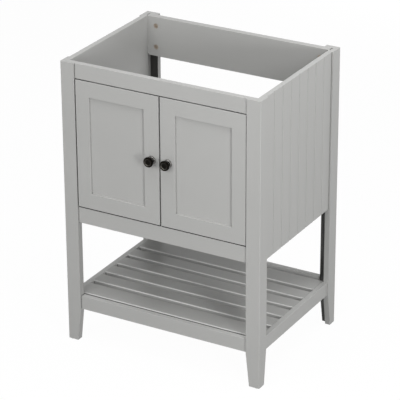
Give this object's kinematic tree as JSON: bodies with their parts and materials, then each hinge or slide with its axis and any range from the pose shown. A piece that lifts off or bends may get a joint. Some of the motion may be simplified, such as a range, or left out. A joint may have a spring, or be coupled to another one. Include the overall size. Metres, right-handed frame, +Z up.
{
  "type": "sink base cabinet",
  "caption": "Freestanding sink base cabinet: open top and back, inset recessed-panel doors with round knobs, grooved side panels, tapered legs and an open slatted shelf.",
  "frame": {"origin": "on the floor, under the middle of the bounding box, knobs included", "axes": "+Z up; the doors face -Y and open towards -Y; +X is to the right as seen from the front"},
  "size_m": [0.61, 0.4738, 0.838],
  "materials": {
    "painted_wood": "satin paint",
    "raw_wood": "bare",
    "dark_bronze": "dark bronze",
    "steel": "zinc plated",
    "zinc": "cast",
    "plastic": "matt",
    "dark_plastic": "matt"
  },
  "bodies": {
    "frame": {"back_bottom_rail": "painted_wood", "back_rail_cam_bolts": "steel", "back_rail_cams": "zinc", "back_shelf_rail": "painted_wood", "back_top_rail": "painted_wood", "cabinet_floor": "painted_wood", "door_pivot_pins": "steel", "foot_glides": "plastic", "frame_dowels": "raw_wood", "front_bottom_rail": "painted_wood", "front_left_leg_front_board": "painted_wood", "front_left_leg_side_board": "painted_wood", "front_right_leg_front_board": "painted_wood", "front_right_leg_side_board": "painted_wood", "front_shelf_rail": "painted_wood", "front_top_rail": "painted_wood", "left_shelf_rail": "painted_wood", "left_side_panel": "painted_wood", "rear_left_leg_rear_board": "painted_wood", "rear_left_leg_side_board": "painted_wood", "rear_right_leg_rear_board": "painted_wood", "rear_right_leg_side_board": "painted_wood", "right_shelf_rail": "painted_wood", "right_side_panel": "painted_wood", "shelf_slat_1": "painted_wood", "shelf_slat_2": "painted_wood", "shelf_slat_3": "painted_wood", "shelf_slat_4": "painted_wood", "shelf_slat_5": "painted_wood", "shelf_slat_6": "painted_wood"},
    "left_door": {"left_door_bottom_rail": "painted_wood", "left_door_hinge_stile": "painted_wood", "left_door_lock_stile": "painted_wood", "left_door_panel": "painted_wood", "left_door_pivot_bushes": "dark_plastic", "left_door_top_rail": "painted_wood", "left_knob": "dark_bronze", "left_knob_screw": "steel"},
    "right_door": {"right_door_bottom_rail": "painted_wood", "right_door_hinge_stile": "painted_wood", "right_door_lock_stile": "painted_wood", "right_door_panel": "painted_wood", "right_door_pivot_bushes": "dark_plastic", "right_door_top_rail": "painted_wood", "right_knob": "dark_bronze", "right_knob_screw": "steel"}
  },
  "joints": [
    {"name": "left_door_hinge", "type": "hinge", "parent": "frame", "child": "left_door", "pos_m": [-0.2395, -0.2071, 0.606], "axis": [0, 0, -1], "range_deg": [0, 120]},
    {"name": "right_door_hinge", "type": "hinge", "parent": "frame", "child": "right_door", "pos_m": [0.2395, -0.2071, 0.606], "axis": [0, 0, 1], "range_deg": [0, 120]}
  ]
}
